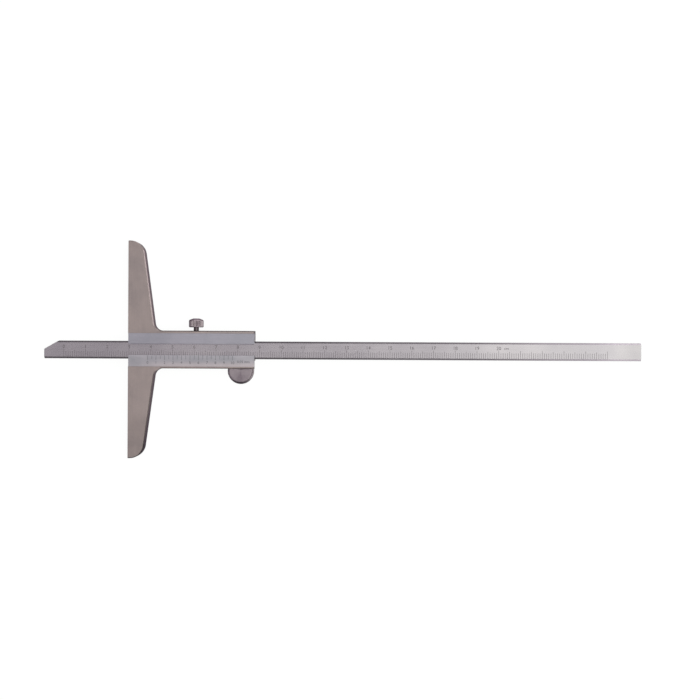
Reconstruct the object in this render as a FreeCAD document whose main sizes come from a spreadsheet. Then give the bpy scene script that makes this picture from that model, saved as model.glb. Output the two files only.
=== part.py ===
import FreeCAD, Part
import os
import re
import Sketcher

# Vernier depth gauge lying flat: +X runs along the beam, +Y across it, +Z out of the scale face.
# The origin is on the measuring face, on the beam's centre line, at the level of the back.

# Copies in each row or ring
UPPER_SCREW_COUNT = 4
LOWER_SCREW_COUNT = 3
ARM_SCREW_COUNT = 2
GIB_SCREW_COUNT = 2
KNOB_TEETH = 36
FLANGE_TEETH = 60

# Driving dimensions in millimetres, each with what it sizes
DIMENSIONS = [
    ("foot_length", 100.0, "measuring face, end to end across both arms"),
    ("arm_tip_width", 6.6, "arm width at its outer end, before the corner is rounded"),
    ("arm_root_width", 12.2, "arm width where it meets the slider"),
    ("arm_corner_radius", 6.5, "rounded outer corner of an arm"),
    ("root_fillet", 3.8, "inside corner between an arm and the slider"),
    ("edge_chamfer", 0.4, "bevel along the front outline"),
    ("slider_length", 58.0, "slider, from the measuring face to its end"),
    ("upper_rail", 3.9, "slider's wall beside the gib"),
    ("lower_rail", 4.35, "slider's wall beside the beam's lower edge"),
    ("upper_rim", 1.2, "rim of the slider beside the upper plate"),
    ("lower_rim", 0.9, "rim of the slider beside the vernier plate"),
    ("plate_thick", 1.2, "both front plates"),
    ("plate_proud", 0.3, "how far the plates stand out of the rims"),
    ("plate_setback", 0.15, "plates behind the measuring face"),
    ("plate_fit", 0.03, "gap between a plate and its rim"),
    ("upper_overlap", 1.37, "upper plate over the beam"),
    ("lower_overlap", 1.66, "vernier plate over the beam"),
    ("scale_slope_run", 1.7, "sloped edge of the vernier plate that carries its marks, across"),
    ("scale_slope_drop", 0.45, "how far that slope falls towards the beam"),
    ("guide_bevel", 0.15, "bevel on the upper plate's window edge"),
    ("beam_length", 274.5, "beam, end to end"),
    ("beam_width", 8.2, "beam, across"),
    ("beam_thick", 3.2, "beam, back to front"),
    ("beam_bevel", 0.8, "bevel along the beam's front edges"),
    ("tip_cut_length", 6.7, "angled cut at the tip, measured along the beam"),
    ("tip_face_width", 4.4, "flat end face left at the tip"),
    ("depth_shown", 38.7, "depth at rest: how far the beam stands out of the measuring face"),
    ("slide_gap", 0.05, "running gap on each face of the beam"),
    ("gib_thick", 0.8, "pressure strip, across the slider"),
    ("gib_side_gap", 0.1, "pressure strip short of the beam's front and back"),
    ("gib_end_gap", 1.0, "pressure strip short of each end of the slider"),
    ("gib_screw_radius", 1.0, "set screw that adjusts the gib"),
    ("gib_screw_sunk", 0.6, "set screw's slotted end below the rail's edge"),
    ("dog_radius", 0.5, "set screw's plain point"),
    ("dog_clear", 0.15, "set screw's thread short of the rail's inner face"),
    ("dimple_depth", 0.3, "dimple in the gib for the plain point"),
    ("gib_screw_first", 18.0, "first set screw from the measuring face"),
    ("gib_screw_last", 10.0, "last set screw from the slider's end"),
    ("screw_radius", 0.8, "small screws of the plates and the spring arm"),
    ("screw_head_radius", 1.3, "head of a small screw"),
    ("plate_head_height", 0.9, "head of a plate screw"),
    ("arm_head_height", 0.55, "head of a spring arm screw"),
    ("screw_gap", 0.02, "radial gap of every screw in its thread"),
    ("head_gap", 0.06, "gap round a sunk screw head"),
    ("plate_skin", 0.2, "plate left in front of a screw hole"),
    ("thread_end_gap", 0.1, "space past the end of a screw"),
    ("plate_screw_first", 6.0, "first plate screw from the measuring face"),
    ("upper_screw_last", 4.0, "upper plate's last screw from the slider's end"),
    ("lower_screw_last", 2.9, "vernier plate's last screw from the roller's slot"),
    ("driver_slot_width", 0.35, "slot for the screwdriver"),
    ("driver_slot_depth", 0.3, "depth of that slot"),
    ("lock_place", 31.0, "locking screw from the measuring face"),
    ("lock_radius", 1.25, "locking screw's shank"),
    ("lock_gap", 0.04, "radial gap of the locking screw in its thread"),
    ("lock_neck", 1.6, "shank seen between the slider and the head"),
    ("knob_radius", 3.4, "knurled head"),
    ("knob_height", 4.05, "height of the knurled head"),
    ("knob_round", 0.9, "rounding of the head's outer edge"),
    ("knob_crown", 0.45, "how far the head's domed end rises to its middle"),
    ("knob_flat", 1.6, "radius of the flat middle of that end"),
    ("knob_under_chamfer", 0.3, "chamfer under the head"),
    ("knurl_depth", 0.22, "depth of a knurl groove"),
    ("pad_ease", 0.05, "brass pad smaller in radius than the locking screw"),
    ("pad_length", 0.7, "length of the pad"),
    ("pad_travel", 0.13, "gap that the pad closes before it meets the gib"),
    ("drum_radius", 5.35, "part of the roller that runs on the beam"),
    ("drum_gap", 0.02, "gap between the drum and the beam's edge"),
    ("flange_lip", 0.85, "knurled flange past the drum, for the thumb"),
    ("flange_thick", 1.0, "flange, back to front"),
    ("flange_gap", 0.15, "gap between the flange and the beam's back"),
    ("roller_space", 0.3, "space round the flange in the slider"),
    ("face_round", 0.2, "edge break round the roller's front face"),
    ("face_wall", 0.8, "roller left in front of its axle"),
    ("lip_gap", 0.15, "gap between the roller's front face and the slider's lip"),
    ("axle_radius", 1.0, "roller's axle"),
    ("axle_clear", 0.15, "axle's back end above the surface that the gauge lies on"),
    ("axle_tail", 0.1, "axle behind the groove for the ring"),
    ("bush_gap", 0.02, "radial gap between the axle and its bush"),
    ("bush_wall", 0.58, "wall of the bush"),
    ("bush_proud", 0.05, "bush stands out of each side of the spring arm"),
    ("bush_play", 0.05, "end play between the bush and the flange"),
    ("arm_thick", 0.6, "spring arm, back to front"),
    ("arm_screw_space", 1.95, "spring arm's fixed end from the second plate screw's head"),
    ("arm_pad_length", 10.0, "screwed-down part of the spring arm"),
    ("arm_pad_width", 3.5, "screwed-down part, across"),
    ("arm_inset", 0.1, "spring arm inside the slider's lower edge"),
    ("arm_strip_width", 0.9, "springy part, across"),
    ("arm_side_gap", 0.2, "space beside the spring arm"),
    ("arm_end_gap", 0.5, "space past the spring arm's fixed end"),
    ("arm_eye_wall", 1.0, "spring arm round the bush"),
    ("arm_screw_inset", 2.0, "arm screws from the ends of the screwed-down part"),
    ("arm_screw_length", 3.2, "thread of an arm screw in the slider"),
    ("ring_width", 0.9, "retaining ring outside the axle"),
    ("ring_thick", 0.35, "retaining ring, back to front"),
    ("ring_groove_depth", 0.25, "groove in the axle for the ring"),
    ("ring_play", 0.05, "play of the ring in its groove and behind the bush"),
    ("ring_opening", 0.9, "gap between the ring's ends"),
]

# Sizes and places worked out from the driving dimensions.
# Levels are stacked from the back, with the roller's parts first, then the beam, then the plates.
DERIVED = {
    "ring_back": "axle_clear + axle_tail + ring_play",
    "ring_front": "ring_back + ring_thick",
    "bush_back": "ring_front + ring_play",
    "arm_back": "bush_back + bush_proud",
    "sunk_level": "arm_back + arm_thick",
    "bush_front": "sunk_level + bush_proud",
    "flange_level": "bush_front + bush_play",
    "flange_front": "flange_level + flange_thick",
    "beam_back": "flange_front + flange_gap",
    "floor_thick": "beam_back - slide_gap",
    "beam_front": "beam_back + beam_thick",
    "guide_mid": "beam_back + beam_thick / 2",
    "roller_front": "beam_front - beam_bevel",
    "axle_front": "roller_front - face_wall",
    "lip_level": "roller_front + lip_gap",
    "seat_level": "beam_front + slide_gap",
    "plate_front": "seat_level + plate_thick",
    "foot_thick": "plate_front - plate_proud",
    "hole_end": "plate_front - plate_skin",
    "plate_screw_end": "hole_end - thread_end_gap",
    "beam_edge": "beam_width / 2",
    "gib_inner": "beam_edge + slide_gap",
    "gib_outer": "gib_inner + gib_thick",
    "gib_half": "beam_thick / 2 - gib_side_gap",
    "channel_top": "gib_outer + slide_gap",
    "channel_bottom": "0 - beam_edge - slide_gap",
    "slider_top": "channel_top + upper_rail",
    "slider_bottom": "channel_bottom - lower_rail",
    "foot_top": "(slider_top + slider_bottom + foot_length) / 2",
    "foot_bottom": "(slider_top + slider_bottom - foot_length) / 2",
    "plate_top": "slider_top - upper_rim",
    "plate_bottom": "slider_bottom + lower_rim",
    "window_top": "beam_edge - upper_overlap",
    "window_bottom": "lower_overlap - beam_edge",
    "arm_edge": "slider_bottom + arm_inset",
    "arm_pad_edge": "arm_edge + arm_pad_width",
    "arm_screw_line": "arm_edge + arm_pad_width / 2",
    "upper_screw_line": "channel_top + screw_head_radius",
    "lower_screw_line": "arm_edge + arm_strip_width + arm_side_gap + screw_head_radius",
    "hole_radius": "screw_radius + screw_gap",
    "flange_radius": "drum_radius + flange_lip",
    "roller_line": "0 - beam_edge - drum_gap - drum_radius",
    "roller_place": "slider_length - flange_radius - roller_space",
    "slot_start": "roller_place - flange_radius - roller_space",
    "slot_top": "roller_line + flange_radius + roller_space / 2",
    "upper_screw_run": "slider_length - upper_screw_last - plate_screw_first",
    "lower_screw_run": "slot_start - lower_screw_last - plate_screw_first",
    "upper_screw_spacing": f"upper_screw_run / {UPPER_SCREW_COUNT - 1}",
    "lower_screw_spacing": f"lower_screw_run / {LOWER_SCREW_COUNT - 1}",
    "gib_screw_spacing": "slider_length - gib_screw_last - gib_screw_first",
    "second_screw": "plate_screw_first + lower_screw_spacing",
    "arm_start": "second_screw + screw_head_radius + arm_screw_space",
    "arm_screw_first": "arm_start + arm_screw_inset",
    "arm_screw_spacing": "arm_pad_length - 2 * arm_screw_inset",
    "bush_inner": "axle_radius + bush_gap",
    "bush_radius": "bush_inner + bush_wall",
    "eye_radius": "bush_radius + arm_eye_wall",
    "groove_radius": "axle_radius - ring_groove_depth",
    "ring_inner": "groove_radius + ring_play",
    "ring_radius": "axle_radius + ring_width",
    "dog_tip": "gib_outer - dimple_depth + slide_gap",
    "pad_radius": "lock_radius - pad_ease",
    "pad_bottom": "gib_outer + pad_travel",
    "lock_tip": "pad_bottom + pad_length",
    "knob_under": "slider_top + lock_neck - lock_tip",
}

TOLERANCE = 1e-4
OUTSIDE = "1"
# Half the angle of a knurl groove at its open side, as a share of the step between grooves
KNURL_SPREAD = 290

document = FreeCAD.newDocument("DepthGauge")
sheet = document.addObject("Spreadsheet::Sheet", "Sizes")
for row, (alias, value, meaning) in enumerate(DIMENSIONS, start=1):
    sheet.set(f"A{row}", alias)
    sheet.set(f"B{row}", str(value))
    sheet.set(f"C{row}", meaning)
    sheet.setAlias(f"B{row}", alias)
document.recompute()
aliases = {alias for alias, value, meaning in DIMENSIONS}


# An expression in plain size names, written out in the sheet's cells
def bound(text):
    def cell(match):
        word = match.group(0)
        if word in DERIVED:
            return f"({bound(DERIVED[word])})"
        return f"Sizes.{word}" if word in aliases else word

    return re.sub(r"[a-z_]+", cell, text)


def number(text):
    return sheet.evalExpression(bound(text))


def origin_plane(body, role):
    return next(feature for feature in body.Origin.OriginFeatures if feature.Role == role)


def new_body(label):
    body = document.addObject("PartDesign::Body", label)
    body.Label = label
    body.AllowCompound = True
    return body


def new_sketch(body, name, role):
    sketch = body.newObject("Sketcher::SketchObject", name)
    sketch.AttachmentSupport = [(origin_plane(body, role), "")]
    sketch.MapMode = "FlatFace"
    return sketch


def pin(sketch, kind, geometry, point, text):
    index = sketch.addConstraint(Sketcher.Constraint(kind, geometry, point, number(text)))
    sketch.setExpression(f"Constraints[{index}]", bound(text))


# Closed outline through corners given as pairs of size expressions
def outline(body, name, role, corners):
    sketch = new_sketch(body, name, role)
    places = [FreeCAD.Vector(number(across), number(up), 0) for across, up in corners]
    following = places[1:] + places[:1]
    for start, end in zip(places, following):
        sketch.addGeometry(Part.LineSegment(start, end), False)
    for index in range(len(corners)):
        after = (index + 1) % len(corners)
        sketch.addConstraint(Sketcher.Constraint("Coincident", index, 2, after, 1))
    for index, (across, up) in enumerate(corners):
        pin(sketch, "DistanceX", index, 1, across)
        pin(sketch, "DistanceY", index, 1, up)
    return sketch


def rectangle(body, name, role, left, right, low, high):
    return outline(body, name, role, [(left, low), (right, low), (right, high), (left, high)])


def circles(body, name, role, centres, radius):
    sketch = new_sketch(body, name, role)
    for across, up in centres:
        place = FreeCAD.Vector(number(across), number(up), 0)
        circle = sketch.addGeometry(Part.Circle(place, FreeCAD.Vector(0, 0, 1), number(radius)), False)
        pin(sketch, "DistanceX", circle, 3, across)
        pin(sketch, "DistanceY", circle, 3, up)
        index = sketch.addConstraint(Sketcher.Constraint("Radius", circle, number(radius)))
        sketch.setExpression(f"Constraints[{index}]", bound(radius))
    return sketch


# Lifts a sketch from its origin plane along the plane's normal
def lift(sketch, text):
    sketch.setExpression("AttachmentOffset.Base.z", bound(text))


def pad(body, name, sketch, length, backwards=False):
    feature = body.newObject("PartDesign::Pad", name)
    feature.Profile = sketch
    feature.setExpression("Length", bound(length))
    feature.Reversed = backwards
    document.recompute()
    return feature


def removed_some(body, before):
    document.recompute()
    if body.Shape.Volume > before - TOLERANCE:
        raise ValueError(f"a cut in {body.Label} removes nothing")


# Pocket into the side that the sketch's normal points to, or away from it
def pocket(body, name, sketch, length=None, along_normal=True):
    before = body.Shape.Volume
    feature = body.newObject("PartDesign::Pocket", name)
    feature.Profile = sketch
    feature.Reversed = along_normal
    if length is None:
        feature.Type = "ThroughAll"
    else:
        feature.setExpression("Length", bound(length))
    removed_some(body, before)
    return feature


# Solid turned about the body's own Z axis from corners given as radius and level
def turned(body, name, corners):
    sketch = outline(body, name + "Profile", "XZ_Plane", corners)
    feature = body.newObject("PartDesign::Revolution", name)
    feature.Profile = sketch
    feature.ReferenceAxis = (sketch, ["V_Axis"])
    feature.Angle = 360
    document.recompute()
    return feature


def rounded(body, name, kind, size, chosen):
    base = body.Tip
    edges = [f"Edge{index}" for index, edge in enumerate(base.Shape.Edges, start=1) if chosen(edge)]
    if not edges:
        raise ValueError(f"no edge for {name} in {body.Label}")
    feature = body.newObject(kind, name)
    feature.Base = (base, edges)
    feature.setExpression("Radius" if kind == "PartDesign::Fillet" else "Size", bound(size))
    document.recompute()
    return feature


def fillet(body, name, size, chosen):
    return rounded(body, name, "PartDesign::Fillet", size, chosen)


def chamfer(body, name, size, chosen):
    return rounded(body, name, "PartDesign::Chamfer", size, chosen)


def near(first, second):
    return abs(first - second) < TOLERANCE


def at_level(edge, level):
    box = edge.BoundBox
    return near(box.ZMin, level) and near(box.ZMax, level)


def upright_at(edge, places):
    box = edge.BoundBox
    stands = box.ZLength > TOLERANCE and box.XLength < TOLERANCE and box.YLength < TOLERANCE
    return stands and any(near(box.XMin, across) and near(box.YMin, up) for across, up in places)


# A row of copies along the body's own X axis
def row_of(body, name, feature, spacing, count):
    pattern = body.newObject("PartDesign::LinearPattern", name)
    pattern.Originals = feature
    pattern.Direction = (origin_plane(body, "X_Axis"), [""])
    pattern.Mode = "Spacing"
    pattern.setExpression("Offset", bound(spacing))
    pattern.Occurrences = count
    body.Tip = pattern
    document.recompute()
    return pattern


def ring_of(body, name, feature, count):
    pattern = body.newObject("PartDesign::PolarPattern", name)
    pattern.Originals = [feature]
    pattern.Axis = (origin_plane(body, "Z_Axis"), [""])
    pattern.Angle = 360
    pattern.Occurrences = count
    body.Tip = pattern
    document.recompute()
    return pattern


# V grooves round a rim of the given radius
def knurl(body, radius, teeth):
    half_width = f"({radius}) * sin({KNURL_SPREAD} / {teeth} * 1deg)"
    corners = [
        (f"{radius} - knurl_depth", "0"),
        (f"{radius} + knurl_depth", f"0 - {half_width}"),
        (f"{radius} + knurl_depth", half_width),
    ]
    groove = pocket(body, "KnurlGroove", outline(body, "KnurlProfile", "XY_Plane", corners))
    ring_of(body, "Knurl", groove, teeth)


def place(body, across="0", up="0", level="0"):
    for axis, text in (("x", across), ("y", up), ("z", level)):
        body.setExpression(f"Placement.Base.{axis}", bound(text))


# Turns the body's own Z axis to the part's +Y
def stand_across(body):
    body.Placement.Rotation = FreeCAD.Rotation(FreeCAD.Vector(1, 0, 0), -90)


def screw_places(first, spacing, count, line):
    return [(f"{first} + {index} * {spacing}", line) for index in range(count)]


UPPER_SCREWS = screw_places(
    "plate_screw_first", "upper_screw_spacing", UPPER_SCREW_COUNT, "upper_screw_line"
)
LOWER_SCREWS = screw_places(
    "plate_screw_first", "lower_screw_spacing", LOWER_SCREW_COUNT, "lower_screw_line"
)
ARM_SCREWS = screw_places("arm_screw_first", "arm_screw_spacing", ARM_SCREW_COUNT, "arm_screw_line")
GIB_SCREWS = screw_places("gib_screw_first", "gib_screw_spacing", GIB_SCREW_COUNT, "guide_mid")


def slider_outline(body):
    pad(body, "Plan", outline(body, "PlanOutline", "XY_Plane", [
        ("0", "foot_bottom"),
        ("arm_tip_width", "foot_bottom"),
        ("arm_root_width", "slider_bottom"),
        ("slider_length", "slider_bottom"),
        ("slider_length", "slider_top"),
        ("arm_root_width", "slider_top"),
        ("arm_tip_width", "foot_top"),
        ("0", "foot_top"),
    ]), "foot_thick")
    tip = number("arm_tip_width")
    root = number("arm_root_width")
    outer_corners = [(tip, number("foot_bottom")), (tip, number("foot_top"))]
    inner_corners = [(root, number("slider_bottom")), (root, number("slider_top"))]
    end_radius = "min(arm_corner_radius; arm_tip_width)"
    fillet(body, "ArmEnds", end_radius, lambda edge: upright_at(edge, outer_corners))
    fillet(body, "ArmRoots", "root_fillet", lambda edge: upright_at(edge, inner_corners))
    front = number("foot_thick")
    chamfer(body, "FrontBevel", "edge_chamfer",
            lambda edge: at_level(edge, front) and edge.BoundBox.XMax > TOLERANCE)


def slider_channel(body):
    front = "foot_thick + " + OUTSIDE
    pocket(body, "Channel", outline(body, "ChannelSection", "YZ_Plane", [
        ("plate_bottom", front),
        ("plate_bottom", "seat_level"),
        ("channel_bottom", "seat_level"),
        ("channel_bottom", "floor_thick"),
        ("channel_top", "floor_thick"),
        ("channel_top", "seat_level"),
        ("plate_top", "seat_level"),
        ("plate_top", front),
    ]))


def slider_roller_space(body):
    below = "slider_bottom - " + OUTSIDE
    section = outline(body, "RollerSection", "YZ_Plane", [
        (below, "sunk_level"),
        ("slot_top", "sunk_level"),
        ("slot_top", "floor_thick"),
        ("channel_bottom", "floor_thick"),
        ("channel_bottom", "lip_level"),
        (below, "lip_level"),
    ])
    lift(section, "slot_start")
    pocket(body, "RollerSlot", section)
    recess = rectangle(body, "ArmRecessOutline", "XY_Plane", "arm_start - arm_end_gap",
                       "slider_length + " + OUTSIDE, below, "arm_pad_edge + arm_side_gap")
    pocket(body, "ArmRecess", recess, "sunk_level")


def slider_holes(body):
    plate_screws = UPPER_SCREWS + LOWER_SCREWS
    heads = circles(body, "HeadCircles", "XY_Plane", plate_screws, "screw_head_radius + head_gap")
    pocket(body, "HeadSeats", heads, "sunk_level")
    shanks = circles(body, "ShankCircles", "XY_Plane", plate_screws, "hole_radius")
    pocket(body, "ShankHoles", shanks)
    threads = circles(body, "ArmThreadCircles", "XY_Plane", ARM_SCREWS, "hole_radius")
    pocket(body, "ArmThreads", threads, "sunk_level + arm_screw_length + thread_end_gap")
    # Seen from the XZ plane, whose normal points to -Y, the upper rail lies against the normal
    for name, places, radius in (
        ("GibThreads", GIB_SCREWS, "gib_screw_radius + screw_gap"),
        ("LockThread", [("lock_place", "guide_mid")], "lock_radius + lock_gap"),
    ):
        side = circles(body, name + "Circles", "XZ_Plane", places, radius)
        lift(side, "0 - gib_inner")
        pocket(body, name, side, None, False)


def slider_body():
    body = new_body("slider_body")
    slider_outline(body)
    slider_channel(body)
    slider_roller_space(body)
    slider_holes(body)
    return body


def front_plate(label, low, high, screws):
    body = new_body(label)
    strip = rectangle(body, "StripOutline", "XY_Plane", "plate_setback", "slider_length", low, high)
    pad(body, "Strip", strip, "plate_thick")
    thread = circles(body, "ThreadCircles", "XY_Plane", screws, "hole_radius")
    pocket(body, "Threads", thread, "plate_thick - plate_skin")
    return body


def upper_guide_plate():
    body = front_plate("upper_guide_plate", "window_top", "plate_top - plate_fit", UPPER_SCREWS)
    front = number("plate_thick")
    edge_place = number("window_top")
    chamfer(body, "WindowBevel", "guide_bevel",
            lambda edge: at_level(edge, front) and near(edge.BoundBox.YMin, edge_place)
            and near(edge.BoundBox.YMax, edge_place))
    place(body, level="seat_level")
    return body


def vernier_plate():
    body = front_plate("vernier_plate", "plate_bottom + plate_fit", "window_bottom", LOWER_SCREWS)
    slope = "scale_slope_drop / scale_slope_run"
    past = "window_bottom + " + OUTSIDE
    above = "plate_thick + " + OUTSIDE
    pocket(body, "ScaleSlope", outline(body, "SlopeSection", "YZ_Plane", [
        (f"window_bottom - scale_slope_run - {OUTSIDE} / ({slope})", above),
        (past, f"plate_thick - scale_slope_drop - {OUTSIDE} * {slope}"),
        (past, above),
    ]))
    place(body, level="seat_level")
    return body


# Row of slotted screws whose heads face the back, standing on the underside of their heads
def screw_row(label, head_height, shank_length, spacing, count):
    body = new_body(label)
    screw = turned(body, "Screw", [
        ("0", f"0 - {head_height}"),
        ("screw_head_radius", f"0 - {head_height}"),
        ("screw_head_radius", "0"),
        ("screw_radius", "0"),
        ("screw_radius", shank_length),
        ("0", shank_length),
    ])
    half = "driver_slot_width / 2"
    reach = "screw_head_radius + " + OUTSIDE
    slot = rectangle(body, "SlotOutline", "XY_Plane", f"0 - {half}", half, f"0 - {reach}", reach)
    lift(slot, f"0 - {head_height}")
    cut = pocket(body, "DriverSlot", slot, "driver_slot_depth")
    row_of(body, "Row", [screw, cut], spacing, count)
    return body


def guide_plate_screws():
    body = screw_row("guide_plate_screws", "plate_head_height", "plate_screw_end - sunk_level",
                     "upper_screw_spacing", UPPER_SCREW_COUNT)
    place(body, "plate_screw_first", "upper_screw_line", "sunk_level")
    return body


def vernier_plate_screws():
    body = screw_row("vernier_plate_screws", "plate_head_height", "plate_screw_end - sunk_level",
                     "lower_screw_spacing", LOWER_SCREW_COUNT)
    place(body, "plate_screw_first", "lower_screw_line", "sunk_level")
    return body


def arm_screws():
    body = screw_row("arm_screws", "arm_head_height", "arm_thick + arm_screw_length",
                     "arm_screw_spacing", ARM_SCREW_COUNT)
    place(body, "arm_screw_first", "arm_screw_line", "arm_back")
    return body


def gib_strip():
    body = new_body("gib_strip")
    side = rectangle(body, "SideOutline", "XZ_Plane", "gib_end_gap", "slider_length - gib_end_gap",
                     "guide_mid - gib_half", "guide_mid + gib_half")
    pad(body, "Strip", side, "gib_thick", True)
    dimples = circles(body, "DimpleCircles", "XZ_Plane", GIB_SCREWS, "dog_radius + slide_gap")
    lift(dimples, "0 - gib_thick")
    pocket(body, "Dimples", dimples, "dimple_depth")
    place(body, up="gib_inner")
    return body


def gib_screws():
    body = new_body("gib_screws")
    top = "slider_top - gib_screw_sunk - dog_tip"
    shoulder = "channel_top + dog_clear - dog_tip"
    screw = turned(body, "Screw", [
        ("0", "0"),
        ("dog_radius", "0"),
        ("dog_radius", shoulder),
        ("gib_screw_radius", shoulder),
        ("gib_screw_radius", top),
        ("0", top),
    ])
    half = "driver_slot_width / 2"
    reach = "gib_screw_radius + " + OUTSIDE
    slot = rectangle(body, "SlotOutline", "XY_Plane", f"0 - {reach}", reach, f"0 - {half}", half)
    lift(slot, top)
    cut = pocket(body, "DriverSlot", slot, "driver_slot_depth", False)
    row_of(body, "Row", [screw, cut], "gib_screw_spacing", GIB_SCREW_COUNT)
    stand_across(body)
    place(body, "gib_screw_first", "dog_tip", "guide_mid")
    return body


def beam():
    body = new_body("beam")
    section = outline(body, "Section", "YZ_Plane", [
        ("0 - beam_edge", "0"),
        ("beam_edge", "0"),
        ("beam_edge", "beam_thick - beam_bevel"),
        ("beam_edge - beam_bevel", "beam_thick"),
        ("beam_bevel - beam_edge", "beam_thick"),
        ("0 - beam_edge", "beam_thick - beam_bevel"),
    ])
    pad(body, "Bar", section, "beam_length")
    slope = "(beam_width - tip_face_width) / tip_cut_length"
    past = "beam_edge + " + OUTSIDE
    pocket(body, "TipCut", outline(body, "TipOutline", "XY_Plane", [
        ("0 - " + OUTSIDE, past),
        ("0 - " + OUTSIDE, f"tip_face_width - beam_edge - {slope}"),
        (f"tip_cut_length + {OUTSIDE} / ({slope})", past),
    ]))
    place(body, "0 - depth_shown", "0", "beam_back")
    return body


def lock_pad():
    body = new_body("lock_pad")
    turned(body, "Pad", [
        ("0", "0"),
        ("pad_radius", "0"),
        ("pad_radius", "pad_length"),
        ("0", "pad_length"),
    ])
    stand_across(body)
    place(body, "lock_place", "pad_bottom", "guide_mid")
    return body


def lock_screw():
    body = new_body("lock_screw")
    top = "knob_under + knob_height"
    turned(body, "Screw", [
        ("0", "0"),
        ("lock_radius", "0"),
        ("lock_radius", "knob_under"),
        ("knob_radius - knob_under_chamfer", "knob_under"),
        ("knob_radius", "knob_under + knob_under_chamfer"),
        ("knob_radius", top + " - knob_crown"),
        ("knob_flat", top),
        ("0", top),
    ])
    level = number(top + " - knob_crown")
    fillet(body, "KnobRound", "knob_round", lambda edge: at_level(edge, level))
    knurl(body, "knob_radius", KNOB_TEETH)
    stand_across(body)
    place(body, "lock_place", "lock_tip", "guide_mid")
    return body


def thumb_roller():
    body = new_body("thumb_roller")
    front = "roller_front - flange_level"
    turned(body, "Wheel", [
        ("axle_radius", "0"),
        ("flange_radius", "0"),
        ("flange_radius", "flange_thick"),
        ("drum_radius", "flange_thick"),
        ("drum_radius", front),
        ("0", front),
        ("0", "axle_front - flange_level"),
        ("axle_radius", "axle_front - flange_level"),
    ])
    level = number(front)
    fillet(body, "FaceEdge", "face_round", lambda edge: at_level(edge, level))
    knurl(body, "flange_radius", FLANGE_TEETH)
    place(body, "roller_place", "roller_line", "flange_level")
    return body


def roller_axle():
    body = new_body("roller_axle")
    groove_back = "ring_back - ring_play"
    groove_front = "ring_front + ring_play"
    turned(body, "Pin", [
        ("0", "axle_clear"),
        ("axle_radius", "axle_clear"),
        ("axle_radius", groove_back),
        ("groove_radius", groove_back),
        ("groove_radius", groove_front),
        ("axle_radius", groove_front),
        ("axle_radius", "axle_front"),
        ("0", "axle_front"),
    ])
    place(body, "roller_place", "roller_line")
    return body


def roller_bush():
    body = new_body("roller_bush")
    turned(body, "Sleeve", [
        ("bush_inner", "bush_back"),
        ("bush_radius", "bush_back"),
        ("bush_radius", "bush_front"),
        ("bush_inner", "bush_front"),
    ])
    place(body, "roller_place", "roller_line")
    return body


def roller_retaining_ring():
    body = new_body("roller_retaining_ring")
    turned(body, "Ring", [
        ("ring_inner", "ring_back"),
        ("ring_radius", "ring_back"),
        ("ring_radius", "ring_front"),
        ("ring_inner", "ring_front"),
    ])
    half = "ring_opening / 2"
    reach = "ring_radius + " + OUTSIDE
    gap = rectangle(body, "OpeningOutline", "XY_Plane", "0", reach, f"0 - {half}", half)
    pocket(body, "Opening", gap)
    place(body, "roller_place", "roller_line")
    return body


def roller_spring_arm():
    body = new_body("roller_spring_arm")
    pad_end = "arm_start + arm_pad_length"
    strip = outline(body, "StripOutline", "XY_Plane", [
        ("arm_start", "arm_edge"),
        ("roller_place", "arm_edge"),
        ("roller_place", "arm_edge + arm_strip_width"),
        (pad_end, "arm_edge + arm_strip_width"),
        (pad_end, "arm_pad_edge"),
        ("arm_start", "arm_pad_edge"),
    ])
    pad(body, "Strip", strip, "arm_thick")
    centre = [("roller_place", "roller_line")]
    pad(body, "Eye", circles(body, "EyeCircle", "XY_Plane", centre, "eye_radius"), "arm_thick")
    pocket(body, "BushHole", circles(body, "BushCircle", "XY_Plane", centre, "bush_radius"))
    pocket(body, "ScrewHoles", circles(body, "ScrewCircles", "XY_Plane", ARM_SCREWS, "hole_radius"))
    place(body, level="arm_back")
    return body


pieces = [
    slider_body(),
    upper_guide_plate(),
    vernier_plate(),
    guide_plate_screws(),
    vernier_plate_screws(),
    gib_strip(),
    gib_screws(),
    beam(),
    lock_pad(),
    lock_screw(),
    thumb_roller(),
    roller_axle(),
    roller_bush(),
    roller_retaining_ring(),
    roller_spring_arm(),
    arm_screws(),
]
document.recompute()

for item in document.Objects:
    if {"Invalid", "Error"} & set(item.State):
        raise ValueError(f"{item.Label} failed to compute")
for piece in pieces:
    if piece.Shape.isNull() or not piece.Shape.isValid():
        raise ValueError(f"{piece.Label} is not a valid solid")

os.makedirs("parts", exist_ok=True)
for piece in pieces:
    piece.Shape.exportStep(f"parts/{piece.Label}.step")
    print(piece.Label, len(piece.Shape.Solids), round(piece.Shape.Volume, 2))
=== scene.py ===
import math
import bmesh
import bpy
import numpy as np
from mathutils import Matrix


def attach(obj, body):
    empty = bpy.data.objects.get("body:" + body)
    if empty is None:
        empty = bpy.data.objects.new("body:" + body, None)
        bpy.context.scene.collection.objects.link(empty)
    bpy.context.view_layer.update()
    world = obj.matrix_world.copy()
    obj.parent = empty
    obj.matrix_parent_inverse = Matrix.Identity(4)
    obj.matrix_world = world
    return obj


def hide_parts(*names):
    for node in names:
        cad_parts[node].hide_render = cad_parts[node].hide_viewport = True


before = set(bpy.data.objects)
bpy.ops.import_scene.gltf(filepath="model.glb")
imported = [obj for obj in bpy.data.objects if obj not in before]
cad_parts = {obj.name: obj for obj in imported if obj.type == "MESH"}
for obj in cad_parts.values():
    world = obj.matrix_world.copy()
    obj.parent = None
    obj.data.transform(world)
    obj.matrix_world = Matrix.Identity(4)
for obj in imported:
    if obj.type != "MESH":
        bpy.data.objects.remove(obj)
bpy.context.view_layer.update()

mm = 0.001
print("frame loaded:", len(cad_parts), "nodes")


# camera and light

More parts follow.
